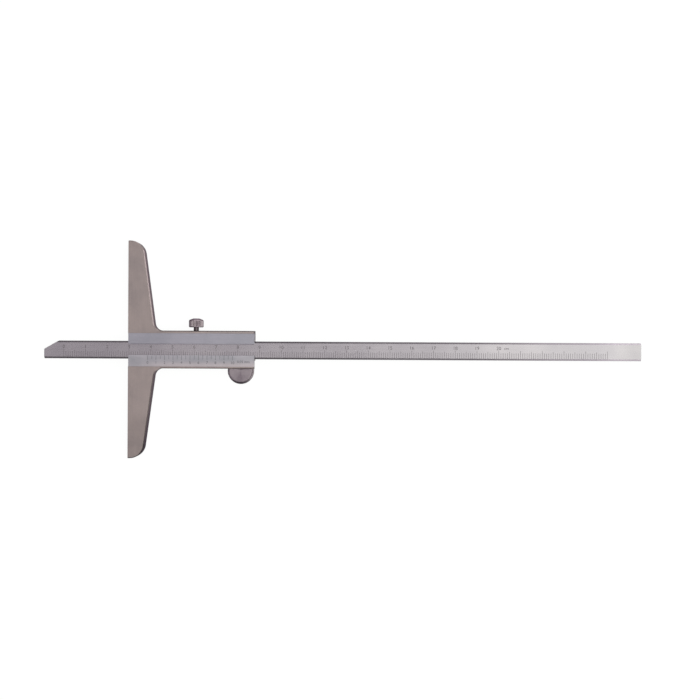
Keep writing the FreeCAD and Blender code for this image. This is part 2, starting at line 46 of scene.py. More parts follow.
view = {
    "centre": (101.9, 0.39),      # mm, the point of the gauge in the middle of the picture
    "height": 586.0,              # mm above the back of the gauge
    "fieldWidth": 321.8,          # mm seen across the picture at the gauge's front
    "front": 5.8,                 # mm, level of the beam's front face
    "roll": 0.29,                 # degrees
}

studio = {
    # A direction has three parts from -1 to 1: across to the right of the picture, along to its top, and up to
    # the camera. Each pair says where a change of light begins and where it is full.
    "zenith": 0.84,               # light from straight above
    "horizon": 0.36,              # light from the side
    "skyUp": (0.0, 0.80),
    "sideLift": 2.15,             # how much brighter the right half of the ceiling is
    "liftAcross": (-0.02, 0.17),
    "liftUp": (0.2, 0.7),
    "liftColour": (1.0, 1.09, 0.97, 1.0),
    "window": 3.4,                # a low window far off to the right and a little above the picture
    "windowAcross": (0.80, 0.92),
    "windowUp": (0.38, 0.24),
    "windowAlong": (0.0, 0.16),
    "sidePanels": 2.6,            # low white panels beside the right end of the beam
    "panelAcross": (0.06, 0.24),
    "panelUp": (0.35, 0.15),
    "panelSquare": (0.60, 0.80),  # the square of along, so there is one panel on each side
    "floorHalf": 3.0,             # m
    "floorDrop": 0.02,            # mm under the gauge
    "paper": (0.97, 0.97, 0.97, 1.0),
    "floorShadow": 0.05,          # share of the floor that takes the shadow
    "floorDull": 0.35,            # the same, as polished metal shows the floor
    "lampPower": 0.25,            # W, soft lamp behind and above
    "lampPlace": (-80.0, 420.0, 420.0),     # mm
    "lampAim": (60.0, 0.0, 0.0),
    "lampSize": 320.0,
}
white = (1.0, 1.0, 1.0, 1.0)


class Value:
    # Wraps a node's output, so that sums written on it add Math nodes.

    def __init__(self, shader, socket):
        self.shader, self.socket = shader, socket

    def math(self, operation, first, second):
        return self.shader.node("ShaderNodeMath", {"operation": operation}, {0: first, 1: second})

    def __add__(self, other):
        return self.math("ADD", self, other)

    def __radd__(self, other):
        return self.math("ADD", other, self)

    def __sub__(self, other):
        return self.math("SUBTRACT", self, other)

    def __rsub__(self, other):
        return self.math("SUBTRACT", other, self)

    def __mul__(self, other):
        return self.math("MULTIPLY", self, other)

    def __rmul__(self, other):
        return self.math("MULTIPLY", other, self)

    def most(self, other):
        return self.math("MAXIMUM", self, other)


class Shader:
    # One node tree, with a method that adds any node.

    def __init__(self, owner):
        owner.use_nodes = True
        self.owner, self.tree = owner, owner.node_tree

    def plug(self, socket, value):
        if isinstance(value, Value):
            self.tree.links.new(value.socket, socket)
        else:
            socket.default_value = value

    def node(self, kind, settings=None, sockets=None, output=0):
        made = self.tree.nodes.new(kind)
        for name, value in (settings or {}).items():
            setattr(made, name, value)
        for name, value in (sockets or {}).items():
            self.plug(made.inputs[name], value)
        return Value(self, made.outputs[output])

    def mixed(self, factor, first, second):
        # Colour between two colours.
        return self.node("ShaderNodeMix", {"data_type": "RGBA"}, {0: factor, 6: first, 7: second}, 2)

    def spread(self, value, low, high, newLow=0.0, newHigh=1.0):
        # Moves a range of a value on to another range, held at its ends.
        return self.node("ShaderNodeMapRange", {"clamp": True, "interpolation_type": "SMOOTHSTEP"},
                         {0: value, 1: low, 2: high, 3: newLow, 4: newHigh})

    def place(self, scale=(1.0, 1.0, 1.0)):
        # Object coordinates in mm, stretched by a scale.
        spot = self.node("ShaderNodeTexCoord", output="Object")
        size = tuple(part / mm for part in scale)
        return self.node("ShaderNodeMapping", {"vector_type": "POINT"}, {"Vector": spot, "Scale": size})

    def axis(self, vector, name):
        return self.node("ShaderNodeSeparateXYZ", sockets={0: vector}, output=name)

    def area(self, vector, limits):
        # One inside an area and zero outside. Each limit names an axis, or "lean" for how far a face leans
        # towards the front or back (1 is flat, 0 is upright), and where the area begins and is full.
        share = 1.0
        for name, low, high in limits:
            if name == "lean":
                lean = self.axis(self.node("ShaderNodeTexCoord", output="Normal"), "Z")
                value = lean.most(lean * -1.0)
            else:
                value = self.axis(vector, name)
            share = self.spread(value, low, high) * share
        return share

    def noise(self, vector, scale, detail=3.0, rough=0.55):
        return self.node("ShaderNodeTexNoise", {"noise_dimensions": "3D"},
                         {"Vector": vector, "Scale": scale, "Detail": detail, "Roughness": rough})


def shade(red, green, blue):
    # A colour as it shows on screen, 0 to 255, made linear.
    parts = []
    for part in (red, green, blue):
        part = part / 255.0
        parts.append(part / 12.92 if part <= 0.04045 else ((part + 0.055) / 1.055) ** 2.4)
    return (*parts, 1.0)


def scaled(colour, factor):
    return tuple(min(1.0, part * factor) for part in colour[:3]) + (1.0,)


def makeCamera():
    camera = bpy.data.cameras.new("photoCamera")
    camera.angle = 2.0 * math.atan(view["fieldWidth"] / 2.0 / (view["height"] - view["front"]))
    camera.clip_start = 0.01
    holder = bpy.data.objects.new("photoCamera", camera)
    holder.location = (view["centre"][0] * mm, view["centre"][1] * mm, view["height"] * mm)
    holder.rotation_euler = (0.0, 0.0, math.radians(view["roll"]))
    bpy.context.scene.collection.objects.link(holder)
    bpy.context.scene.camera = holder


def makeStudio():
    world = bpy.data.worlds.new("studio")
    bpy.context.scene.world = world
    sky = Shader(world)
    sky.tree.nodes.clear()
    direction = sky.node("ShaderNodeTexCoord", output="Generated")
    up = sky.axis(direction, "Z")
    across = sky.axis(direction, "X")
    level = sky.spread(up, *studio["skyUp"], studio["horizon"], studio["zenith"])
    lift = sky.spread(across, *studio["liftAcross"]) * sky.spread(up, *studio["liftUp"])
    along = sky.axis(direction, "Y")
    window = sky.spread(across, *studio["windowAcross"]) * sky.spread(up, *studio["windowUp"])
    window = window * sky.spread(along, *studio["windowAlong"])
    panels = sky.spread(along * along, *studio["panelSquare"]) * sky.spread(across, *studio["panelAcross"])
    panels = panels * sky.spread(up, *studio["panelUp"])
    light = level * (lift * studio["sideLift"] + 1.0)
    light = light + window * studio["window"] + panels * studio["sidePanels"]
    rays = sky.node("ShaderNodeLightPath", output="Is Camera Ray")
    strength = light * (1.0 - rays) + rays
    tint = sky.mixed(lift * (1.0 - rays), white, studio["liftColour"])
    output = sky.tree.nodes.new("ShaderNodeOutputWorld")
    sky.plug(output.inputs["Surface"],
             sky.node("ShaderNodeBackground", sockets={"Color": tint, "Strength": strength}))

    lamp = bpy.data.lights.new("softLamp", "AREA")
    lamp.energy = studio["lampPower"]
    lamp.size = studio["lampSize"] * mm
    holder = bpy.data.objects.new("softLamp", lamp)
    holder.location = [part * mm for part in studio["lampPlace"]]
    aim = np.array(studio["lampAim"]) - np.array(studio["lampPlace"])
    holder.rotation_euler = (math.atan2(math.hypot(aim[0], aim[1]), -aim[2]), 0.0,
                             math.atan2(aim[1], aim[0]) - math.pi / 2)
    bpy.context.scene.collection.objects.link(holder)


def makeFloor():
    half, level = studio["floorHalf"], -studio["floorDrop"] * mm
    points = [[-half, -half, level], [half, -half, level], [half, half, level], [-half, half, level]]
    mesh = bpy.data.meshes.new("floor")
    mesh.from_pydata(points, [], [[0, 1, 2, 3]])
    floor = bpy.data.objects.new("floor", mesh)
    bpy.context.scene.collection.objects.link(floor)
    paper = Shader(bpy.data.materials.new("paleFloor"))
    paper.tree.nodes.clear()
    camera, glossy, through = [paper.node("ShaderNodeLightPath", output=name)
                               for name in ("Is Camera Ray", "Is Glossy Ray", "Is Transmission Ray")]
    seen = (camera * (1.0 - studio["floorShadow"])).most(glossy.most(through) * (1.0 - studio["floorDull"]))
    dull = paper.node("ShaderNodeBsdfDiffuse", sockets={"Color": studio["paper"]})
    bright = paper.node("ShaderNodeEmission", sockets={"Color": white, "Strength": 1.0})
    surface = paper.node("ShaderNodeMixShader", sockets={0: seen, 1: dull, 2: bright})
    output = paper.tree.nodes.new("ShaderNodeOutputMaterial")
    paper.plug(output.inputs["Surface"], surface)
    mesh.materials.append(paper.owner)


makeCamera()
makeStudio()
makeFloor()
bpy.context.scene.view_settings.view_transform = "Standard"
print("camera, studio and floor placed")


# finishes

usualSteel = {                               # what a steel has where its own look says nothing else
    "grazing": white,                        # tint of a reflection at a low angle
    "turned": 0.0,                           # how far turning stretches a highlight
    "patchScale": 0.12, "patchDepth": 0.05,
    "grainScale": 2.6, "grainDepth": 0.05, "grainBump": 0.5,
    "lineScale": (0.05, 5.0, 5.0), "lineDepth": 0.04, "lineBump": 0.5,
    "roughness": 0.36, "smoothest": -0.05, "roughest": 0.07, "lineRoughness": 0.10,
    "bump": 0.12, "bumpHeight": 0.02,        # mm
    "paintedShadeAndHighlight": [],                            # painted shade and painted highlights: areas made darker or brighter, and by how much
}


def steel(name, look):
    # Steel with mottling, fine grain and long grinding lines, with painted shade and painted highlights in the
    # listed areas and in grooves.
    look = {**usualSteel, **look}
    metal = Shader(bpy.data.materials.new(name))
    shiny = metal.tree.nodes["Principled BSDF"]
    shiny.inputs["Metallic"].default_value = 1.0
    shiny.inputs["Specular Tint"].default_value = look["grazing"]
    shiny.inputs["Anisotropic"].default_value = look["turned"]
    shiny.inputs["Anisotropic Rotation"].default_value = 0.25       # a quarter turn
    flat = metal.place()
    patches = metal.noise(flat, look["patchScale"], 2.0)
    grain = metal.noise(flat, look["grainScale"], 4.0, 0.7)
    lines = metal.noise(metal.place(look["lineScale"]), 1.0, 3.0, 0.6)
    tone = metal.spread(patches, 0.25, 0.75, -1.0, 1.0) * look["patchDepth"]
    tone = tone + metal.spread(grain, 0.2, 0.8, -1.0, 1.0) * look["grainDepth"]
    tone = tone + metal.spread(lines, 0.2, 0.8, -1.0, 1.0) * look["lineDepth"]
    colour = look["colour"]
    lighter = look.get("tint", scaled(colour, 1.02))
    mixer = metal.mixed(metal.spread(patches, 0.3, 0.7), scaled(colour, 0.985), lighter)
    if "paintedHighlight" in look:                       # painted highlight: a lighter colour in one area
        mixer = metal.mixed(metal.area(flat, look["paintedHighlight"][0]), mixer, look["paintedHighlight"][1])
    factor = tone + 1.0
    # painted shade and painted highlights: the colour is darkened or lightened in each listed area
    for limits, level in look["paintedShadeAndHighlight"]:
        factor = factor * (metal.area(flat, limits) * (level - 1.0) + 1.0)
    if "groove" in look:                     # painted shade held in the grooves of a knurl or thread and in the roller's inner corner
        depth = metal.node("ShaderNodeAttribute", {"attribute_name": "groove"}, output="Fac")
        factor = factor * (1.0 - depth * (1.0 - look["groove"]))
    grey = metal.node("ShaderNodeCombineColor", sockets={0: factor, 1: factor, 2: factor})
    tinted = metal.node("ShaderNodeMix", {"data_type": "RGBA", "blend_type": "MULTIPLY"},
                        {0: 1.0, 6: mixer, 7: grey}, 2)
    metal.plug(shiny.inputs["Base Color"], tinted)
    smoothest, roughest = look["roughness"] + look["smoothest"], look["roughness"] + look["roughest"]
    rough = metal.spread(grain, 0.2, 0.8, smoothest, roughest) + (lines - 0.5) * look["lineRoughness"]
    metal.plug(shiny.inputs["Roughness"], rough)
    height = grain * look["grainBump"] + lines * look["lineBump"]
    metal.plug(shiny.inputs["Normal"], metal.node("ShaderNodeBump", sockets={
        "Strength": look["bump"], "Distance": look["bumpHeight"] * mm, "Height": height}))
    return metal.owner


# areas that take painted shade and painted highlights: side faces and bevels
upright = ("lean", 0.62, 0.35)                  # a side face
bevelled = ("lean", 0.97, 0.84)                # a bevel
grazingShade = (0.37, 0.33, 0.38, 1.0)             # painted shade: a dark tint of reflections at a low angle, which darkens side faces and bevels

# painted shade: side faces, the slider's right end wall, and the bevels along the slider and lower arm are
# darker; the arms are darker towards their ends
footSteel = steel("footSteel", {
    "colour": shade(143, 130, 131), "tint": shade(146, 132, 132), "grazing": grazingShade,
    "paintedShadeAndHighlight": [([upright], 0.80), ([upright, ("X", 57.2, 57.6), ("Y", 4.0, 2.0)], 0.60),
               ([bevelled, ("X", 13.0, 16.0)], 0.50),
               ([bevelled, ("X", 16.0, 13.0), ("Y", -8.0, -12.0)], 0.60),
               ([bevelled, ("X", 16.0, 13.0), ("Y", -20.0, -50.0)], 0.58),
               ([bevelled, ("Y", -41.0, -45.0)], 0.60),
               ([("X", 24.0, 14.0)], 0.93), ([("Y", -26.0, -36.0)], 0.87), ([("Y", 43.0, 49.0)], 0.93)],
    "patchScale": 0.10, "lineScale": (2.5, 0.06, 2.5), "lineDepth": 0.03, "roughness": 0.38})
# painted highlight: its bevels are lighter
guideSteel = steel("guideSteel", {
    "colour": shade(143, 139, 150), "tint": shade(145, 140, 151), "paintedShadeAndHighlight": [([bevelled], 1.5)],
    "patchScale": 0.08, "roughness": 0.34})
# painted shade: side faces and the right end wall are darker; painted highlight: lighter towards the lower
# edge, except near the left end
vernierSteel = steel("vernierSteel", {
    "colour": shade(148, 144, 152), "tint": shade(152, 146, 154), "roughness": 0.33, "grazing": grazingShade,
    "paintedShadeAndHighlight": [([upright], 0.75), ([upright, ("X", 57.2, 57.6)], 0.60)],
    "paintedHighlight": ([("Y", -4.6, -7.3), ("X", 0.0, 20.0)], shade(170, 159, 165))})
# painted shade and painted highlights: bevels darker but lighter in steps towards the right end, the lower
# bevel darker, the face darker near the right end
beamSteel = steel("beamSteel", {
    "colour": shade(150, 142, 150), "tint": shade(153, 145, 152), "roughness": 0.28,
    "patchScale": 0.05, "lineScale": (0.04, 4.0, 4.0), "lineDepth": 0.05,
    "grazing": grazingShade,
    "paintedShadeAndHighlight": [([bevelled], 0.46), ([bevelled, ("X", 80.0, 115.0)], 1.35),
               ([bevelled, ("X", 160.0, 205.0)], 1.70), ([bevelled, ("X", 205.0, 228.0)], 1.30),
               ([bevelled, ("Y", 0.0, -3.6)], 0.85),
               ([("X", 221.0, 234.0)], 0.88)]})
screwSteel = steel("screwSteel", {
    "colour": shade(122, 121, 125), "roughness": 0.36, "lineScale": (3.0, 3.0, 3.0)})
axleSteel = steel("axleSteel", {
    "colour": shade(158, 158, 160), "roughness": 0.26, "lineScale": (1.0, 1.0, 8.0)})
springSteel = steel("springSteel", {
    "colour": shade(104, 108, 124), "tint": shade(118, 112, 120), "roughness": 0.30, "patchScale": 0.25,
    "patchDepth": 0.12, "lineScale": (0.08, 5.0, 5.0)})
bronze = steel("bronze", {
    "colour": shade(190, 148, 92), "tint": shade(176, 128, 84), "roughness": 0.38, "patchScale": 0.3,
    "patchDepth": 0.10})
brass = steel("brass", {"colour": shade(202, 172, 104), "tint": shade(190, 158, 96), "roughness": 0.33})
print("finishes made")


def dress(name, material):
    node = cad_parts[name]
    node.data.materials.clear()
    node.data.materials.append(material)


for name, material in {
    "guide_plate_screws": screwSteel, "vernier_plate_screws": screwSteel, "gib_screws": screwSteel,
    "arm_screws": screwSteel, "roller_axle": axleSteel, "roller_spring_arm": springSteel,
    "roller_retaining_ring": springSteel, "gib_strip": bronze, "roller_bush": bronze, "lock_pad": brass,
}.items():
    dress(name, material)


# helpers that make pieces


def addPiece(name, points, faces, material, body, smooth=True, groove=None):
    mesh = bpy.data.meshes.new(name)
    mesh.from_pydata((np.asarray(points, float) * mm).tolist(), [], faces)
    mesh.validate()
    mesh.update()
    mesh.shade_smooth() if smooth else mesh.shade_flat()
    mesh.materials.append(material)
    # a point attribute of painted shade, 1 where a groove or corner is darkest
    if groove is not None:
        mesh.attributes.new("groove", "FLOAT", "POINT").data.foreach_set("value", np.asarray(groove, float))
    piece = bpy.data.objects.new(name, mesh)
    bpy.context.scene.collection.objects.link(piece)
    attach(piece, body)
    return piece


def roundTube(points):
    # Faces of a grid of rings whose last column joins its first, its two ends closed on a middle point.
    rings, steps = points.shape[:2]
    ring, step = np.meshgrid(np.arange(rings - 1), np.arange(steps), indexing="ij")
    here, after = ring * steps + step, ring * steps + (step + 1) % steps
    sides = np.stack([here, after, after + steps, here + steps], axis=-1).reshape(-1, 4)
    first, last = rings * steps, rings * steps + 1
    row = np.arange(steps)
    under = np.stack([np.full(steps, first), (row + 1) % steps, row], axis=-1)
    top = (rings - 1) * steps
    over = np.stack([np.full(steps, last), top + row, top + (row + 1) % steps], axis=-1)
    return sides.tolist() + under.tolist() + over.tolist()


brokenEdge = {"mergeWithin": 1e-6, "flatAngle": 0.6, "sharpAngle": 32.0, "segments": 2}    # m, degrees


def softened(node, name, body, material, width, frontBevel=None):
    # The node's own shape with its sharp edges broken by a small round. A front bevel is a broader one along
    # the outline of the front face, where both ends of an edge lie past the stated place, and broadest on
    # the lower arm.
    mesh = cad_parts[node].data.copy()
    mesh.name = name
    work = bmesh.new()
    work.from_mesh(mesh)
    bmesh.ops.remove_doubles(work, verts=work.verts, dist=brokenEdge["mergeWithin"])
    bmesh.ops.dissolve_limit(work, angle_limit=math.radians(brokenEdge["flatAngle"]), verts=work.verts,
                             edges=work.edges)
    bmesh.ops.recalc_face_normals(work, faces=work.faces)
    if frontBevel:
        weight = work.edges.layers.float.new("bevel_weight_edge")
        for edge in work.edges:
            x, y, z = np.array([list(corner.co) for corner in edge.verts]).T / mm
            past = (z > frontBevel["level"]) & (x > frontBevel["pastX"]) & (np.abs(y) > frontBevel["pastY"])
            if past.all() and edge.calc_face_angle(0.0) > frontBevel["fromAngle"]:
                edge[weight] = 1.0 if y.mean() < frontBevel["broadBelow"] else frontBevel["share"]
    work.to_mesh(mesh)
    work.free()
    mesh.materials.clear()
    mesh.materials.append(material)
    mesh.shade_smooth()
    piece = bpy.data.objects.new(name, mesh)
    bpy.context.scene.collection.objects.link(piece)
    if frontBevel:
        front = piece.modifiers.new("frontBevel", "BEVEL")
        front.width = frontBevel["width"] * mm
        front.segments = 1
        front.limit_method = "WEIGHT"
    edge = piece.modifiers.new("brokenEdges", "BEVEL")
    edge.width = width * mm
    edge.segments = brokenEdge["segments"]
    edge.limit_method = "ANGLE"
    edge.angle_limit = math.radians(brokenEdge["sharpAngle"])
    edge.use_clamp_overlap = True
    even = piece.modifiers.new("evenShading", "WEIGHTED_NORMAL")
    even.weight = 100
    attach(piece, body)
    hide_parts(node)
    return piece


armBevel = {
    "level": 6.74, "pastX": 0.5, "pastY": 8.0,       # mm, the edges that it takes
    "fromAngle": 1.0,                                # radians between an edge's two faces
    "width": 0.60,
    "broadBelow": -10.5, "share": 0.38,              # elsewhere it has this share of its width
}
footEdge, stripEdge = 0.05, 0.06                     # mm
softened("slider_body", "foot", "slider", footSteel, footEdge, armBevel)
softened("upper_guide_plate", "guideStrip", "slider", guideSteel, stripEdge)
softened("vernier_plate", "vernierStrip", "slider", vernierSteel, stripEdge)
print("foot and strips made")


# depth beam

beamShape = {
    "left": -38.7, "right": 235.8,          # mm
    "edge": 4.1,                            # half width
    "back": 2.6, "front": 5.8,
    "bevel": 0.8,                           # along both front edges
    "cutFrom": 0.3, "cutLength": 6.7,       # the angled cut starts at this y and runs this far
    "round": 0.08,
    "roundMiddle": 0.28,                    # a round's middle point lies this share of it in from the corner
    "rows": 22,                             # sections between the two ends
}


def beamSurface(shape):
    # A bevelled bar carried along X. Each corner of the section is rounded over three points, and the section
    # is drawn in by the same round at both ends. The left end lies on x = left up to cutFrom and then on a
    # straight slope that reaches cutLength at the bar's edge.
    edge, bevel, soft = shape["edge"], shape["bevel"], shape["round"]
    corners = np.array([
        [-edge, shape["back"]], [edge, shape["back"]], [edge, shape["front"] - bevel],
        [edge - bevel, shape["front"]], [bevel - edge, shape["front"]], [-edge, shape["front"] - bevel]])
    before = np.roll(corners, 1, axis=0) - corners
    after = np.roll(corners, -1, axis=0) - corners
    before /= np.linalg.norm(before, axis=1, keepdims=True)
    after /= np.linalg.norm(after, axis=1, keepdims=True)
    middle = corners + (before + after) * soft * shape["roundMiddle"]
    section = np.stack([corners + before * soft, middle, corners + after * soft], axis=1).reshape(-1, 2)
    turn = shape["cutFrom"]
    bends = np.array([[turn, shape["back"]], [turn, shape["front"]]])       # where the end's slope begins
    section = np.insert(section, [3, 12], bends, axis=0)
    inward = np.array([0.0, (shape["back"] + shape["front"]) / 2]) - section
    pull = np.sign(inward) * np.minimum(np.abs(inward), soft)
    ends = [(0.0, 1.0), (0.3 * soft, 0.3), (soft, 0.0)]          # place along the end's round, share drawn in
    length = np.linspace(0.0, 1.0, shape["rows"] + 2)[1:-1]
    slope = shape["cutLength"] / (edge - turn)
    rows = []
    for along, drawn in ends:
        ring = section + pull * drawn
        start = shape["left"] + np.maximum(ring[:, 0] - turn, 0.0) * slope
        rows.append(np.column_stack([start + along, ring]))
    inner = rows[-1]
    for share in length:
        middleRow = inner.copy()
        middleRow[:, 0] = inner[:, 0] + (shape["right"] - soft - inner[:, 0]) * share
        rows.append(middleRow)
    for along, drawn in ends[::-1]:
        ring = section + pull * drawn
        rows.append(np.column_stack([np.full(len(ring), shape["right"] - along), ring]))
    return np.array(rows)


def makeBeam():
    grid = beamSurface(beamShape)
    middles = np.array([grid[0].mean(axis=0), grid[-1].mean(axis=0)])
    middles[0, 0] = beamShape["left"]
    middles[0, 1] = beamShape["cutFrom"]
    points = np.vstack([grid.reshape(-1, 3), middles])
    bar = addPiece("beamBar", points, roundTube(grid), beamSteel, "depth_beam")
    weighted = bar.modifiers.new("evenShading", "WEIGHTED_NORMAL")
    weighted.keep_sharp = True
    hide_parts("beam")


makeBeam()
print("beam made")


# scale marks and numbers

marks = {
    "beamZero": -29.7,            # mm from the measuring face at rest
    "beamCount": 250,             # millimetre marks
    "beamLow": -3.3,
    "shortTop": -0.75, "middleTop": -0.15, "longTop": 0.30,
    "beamWidth": 0.15,
    "beamLevel": 5.8,
    "vernierZero": 9.0,
    "vernierCount": 20, "vernierStep": 1.95,
    "vernierTop": -2.52, "vernierLow": -4.25, "vernierLongLow": -4.60,
    "slopeFrom": -4.14, "slopeRun": 1.70, "slopeDrop": 0.45,
    "vernierWidth": 0.16,
    "vernierLevel": 7.05,
    "sink": 0.03, "proud": 0.015,
    "beamDigits": 1.55, "beamDigitsAt": 1.45,       # height and middle
    "beamUnit": 1.30, "beamUnitAt": 203.6,          # the unit's height and its place past the zero mark
    "vernierDigits": 1.25, "vernierDigitsAt": -5.75,
    "reading": 1.15, "readingAt": (53.0, -5.25),
}


def enamel(name, colour):
    fill = Shader(bpy.data.materials.new(name))
    paint = fill.tree.nodes["Principled BSDF"]
    speck = fill.noise(fill.place(), 4.0, 3.0)
    tone = fill.mixed(fill.spread(speck, 0.3, 0.7), colour, scaled(colour, 1.35))
    fill.plug(paint.inputs["Base Color"], tone)
    fill.plug(paint.inputs["Roughness"], fill.spread(speck, 0.2, 0.8, 0.45, 0.6))
    paint.inputs["Metallic"].default_value = 0.2
    return fill.owner


markFill = enamel("markFill", shade(70, 62, 68))
vernierFill = enamel("vernierFill", shade(72, 68, 74))


def thinBlocks(left, right, low, high, surface):
    # One thin block for each entry of the arrays, between its left and right, low and high. Its bottom lies
    # under the surface level at that y and its top above it.
    count = len(left)
    xs = np.stack([left, right, right, left] * 2, axis=1)
    ys = np.stack([low, low, high, high] * 2, axis=1)
    zs = surface(ys) + np.array([-marks["sink"]] * 4 + [marks["proud"]] * 4)
    points = np.stack([xs, ys, zs], axis=-1).reshape(-1, 3)
    block = np.array([[3, 2, 1, 0], [4, 5, 6, 7], [0, 1, 5, 4], [1, 2, 6, 5], [2, 3, 7, 6], [3, 0, 4, 7]])
    faces = (block[None] + (np.arange(count) * 8)[:, None, None]).reshape(-1, 4)
    return points, faces.tolist()


def makeBeamMarks():
    count = np.arange(marks["beamCount"] + 1)
    middle = marks["beamZero"] + count
    high = np.where(count % 5 == 0, marks["middleTop"], marks["shortTop"])
    high = np.where(count % 10 == 0, marks["longTop"], high)
    half = marks["beamWidth"] / 2
    points, faces = thinBlocks(middle - half, middle + half, np.full(len(count), marks["beamLow"]), high,
                               lambda y: np.full(y.shape, marks["beamLevel"]))
    addPiece("beamMarks", points, faces, markFill, "depth_beam", smooth=False)


def makeVernierMarks():
    count = np.arange(marks["vernierCount"] + 1)
    middle = marks["vernierZero"] + count * marks["vernierStep"]
    low = np.where(count % 2 == 0, marks["vernierLongLow"], marks["vernierLow"])
    half = marks["vernierWidth"] / 2

    def slope(y):
        # level of the plate's front: flat, then a straight fall from slopeFrom to the window's edge
        share = np.clip((y - marks["slopeFrom"]) / marks["slopeRun"], 0, 1)
        return marks["vernierLevel"] - share * marks["slopeDrop"]

    bend = np.full(len(count), marks["slopeFrom"])
    top = np.full(len(count), marks["vernierTop"])
    upper = thinBlocks(middle - half, middle + half, bend, top, slope)
    lower = thinBlocks(middle - half, middle + half, low, bend, slope)
    faces = upper[1] + [[corner + len(upper[0]) for corner in face] for face in lower[1]]
    addPiece("vernierMarks", np.vstack([upper[0], lower[0]]), faces, vernierFill, "slider", smooth=False)


def wordPoints(text, height):
    # Points and faces of a word drawn flat, its middle at zero, its digits of the stated height.
    curve = bpy.data.curves.new("word", "FONT")
    curve.body = text
    curve.size = 1.0
    curve.extrude = 0.5
    curve.resolution_u = 3
    curve.align_x = "CENTER"
    holder = bpy.data.objects.new("word", curve)
    mesh = bpy.data.meshes.new_from_object(holder)
    points = np.empty(len(mesh.vertices) * 3)
    mesh.vertices.foreach_get("co", points)
    points = points.reshape(-1, 3)
    faces = [list(face.vertices) for face in mesh.polygons]
    tall = 0.70                    # a digit's height at size 1
    points[:, 1] -= tall / 2
    points[:, :2] *= height / tall
    bpy.data.objects.remove(holder)
    bpy.data.curves.remove(curve)
    bpy.data.meshes.remove(mesh)
    return points, faces


def makeWords(name, words, level, material, body):
    allPoints, allFaces, start = [], [], 0
    for text, x, y, height in words:
        points, faces = wordPoints(text, height)
        points[:, 0] += x
        points[:, 1] += y
        points[:, 2] = np.where(points[:, 2] > 0, level + marks["proud"], level - marks["sink"])
        allPoints.append(points)
        allFaces += [[corner + start for corner in face] for face in faces]
        start += len(points)
    piece = addPiece(name, np.vstack(allPoints), allFaces, material, body, smooth=False)
    work = bmesh.new()
    work.from_mesh(piece.data)
    bmesh.ops.remove_doubles(work, verts=work.verts, dist=1e-7)
    bmesh.ops.recalc_face_normals(work, faces=work.faces)
    work.to_mesh(piece.data)
    work.free()


makeBeamMarks()
makeVernierMarks()
beamWords = [(str(n), marks["beamZero"] + 10.0 * n, marks["beamDigitsAt"], marks["beamDigits"])
             for n in range(21)]
beamWords.append(("cm", marks["beamZero"] + marks["beamUnitAt"], marks["beamDigitsAt"], marks["beamUnit"]))
makeWords("beamNumbers", beamWords, marks["beamLevel"], markFill, "depth_beam")
vernierWords = [(str(n), marks["vernierZero"] + 2 * marks["vernierStep"] * n, marks["vernierDigitsAt"],
                 marks["vernierDigits"]) for n in range(11)]
vernierWords.append(("0,05 mm", *marks["readingAt"], marks["reading"]))
makeWords("vernierNumbers", vernierWords, marks["vernierLevel"], vernierFill, "slider")
print("scales made")


# locking screw

lockShape = {
    "x": 31.0, "z": 4.2,                    # mm, its axis runs along Y
    "tip": 5.78, "shank": 1.25, "under": 10.5, "top": 14.55,
    "head": 3.39, "teeth": 28, "toothDepth": 0.26,
    "underEdge": 0.3, "topRound": 0.9,
    "crown": 0.45,                          # the end rises by this much towards its flat middle
    "pitch": 0.45, "threadDepth": 0.12,
    "steps": 288, "headRows": 10, "roundRows": 9, "rowsPerTurn": 6,
}


def lockSurface(shape):
    # A turned shape: radius as a function of height y and angle. The shank's radius falls by the thread's
    # depth along a helix, and the head's radius falls by the tooth's depth as the cosine of teeth times the
    # angle, fading out over the rounds at both ends.
    tip, under, end, head, corner = (shape[name] for name in ("tip", "under", "top", "head", "topRound"))
    top = end - shape["crown"]
    thread = np.arange(tip + 0.25, under - 0.12, shape["pitch"] / shape["rowsPerTurn"])
    side = np.linspace(under + 0.45, top - corner, shape["headRows"])
    turnIn = np.linspace(0.0, math.pi / 2, shape["roundRows"])[1:-1]
    outline = np.vstack([                   # height and radius, from the tip to the middle of the end
        [(tip, 0.85), (tip + 0.02, 0.95)],
        np.column_stack([thread, np.full(len(thread), shape["shank"])]),
        [(under - 0.06, shape["shank"]), (under, shape["shank"] + 0.08),
         (under, head - shape["underEdge"] - 0.05), (under + 0.02, head - shape["underEdge"] + 0.02),
         (under + 0.30, head)],
        np.column_stack([side, np.full(len(side), head)]),
        np.column_stack([top - corner + corner * np.sin(turnIn), head - corner + corner * np.cos(turnIn)]),
        [(top + 0.04, head - corner - 0.05), (top + 0.24, 2.05), (end, 1.45), (end - 0.06, 0.9)]])
    heights, radii = outline.T
    angle = np.linspace(0.0, 2 * math.pi, shape["steps"], endpoint=False)
    y, turn = np.meshgrid(heights, angle, indexing="ij")
    r = np.repeat(radii[:, None], shape["steps"], axis=1)
    onShank = (y > tip + 0.3) & (y < under - 0.1) & (r < head / 2)
    phase = np.abs(((y / shape["pitch"] - turn / (2 * math.pi)) % 1.0) * 2 - 1)
    r = r - onShank * shape["threadDepth"] * phase
    inHead = np.clip((y - under - 0.1) / 0.35, 0, 1) * np.clip((top - 0.35 - y) / 0.45, 0, 1)
    inHead = inHead * (r > head * 0.8)
    grip = 0.5 - 0.5 * np.cos(shape["teeth"] * turn)
    r = r - inHead * shape["toothDepth"] * grip
    # painted shade: the groove attribute is darkest in the valleys of the head's teeth and along the thread
    groove = np.maximum(inHead * grip, onShank * (0.55 + 0.45 * phase))
    return np.stack([shape["x"] + r * np.sin(turn), y, shape["z"] + r * np.cos(turn)], axis=-1), groove


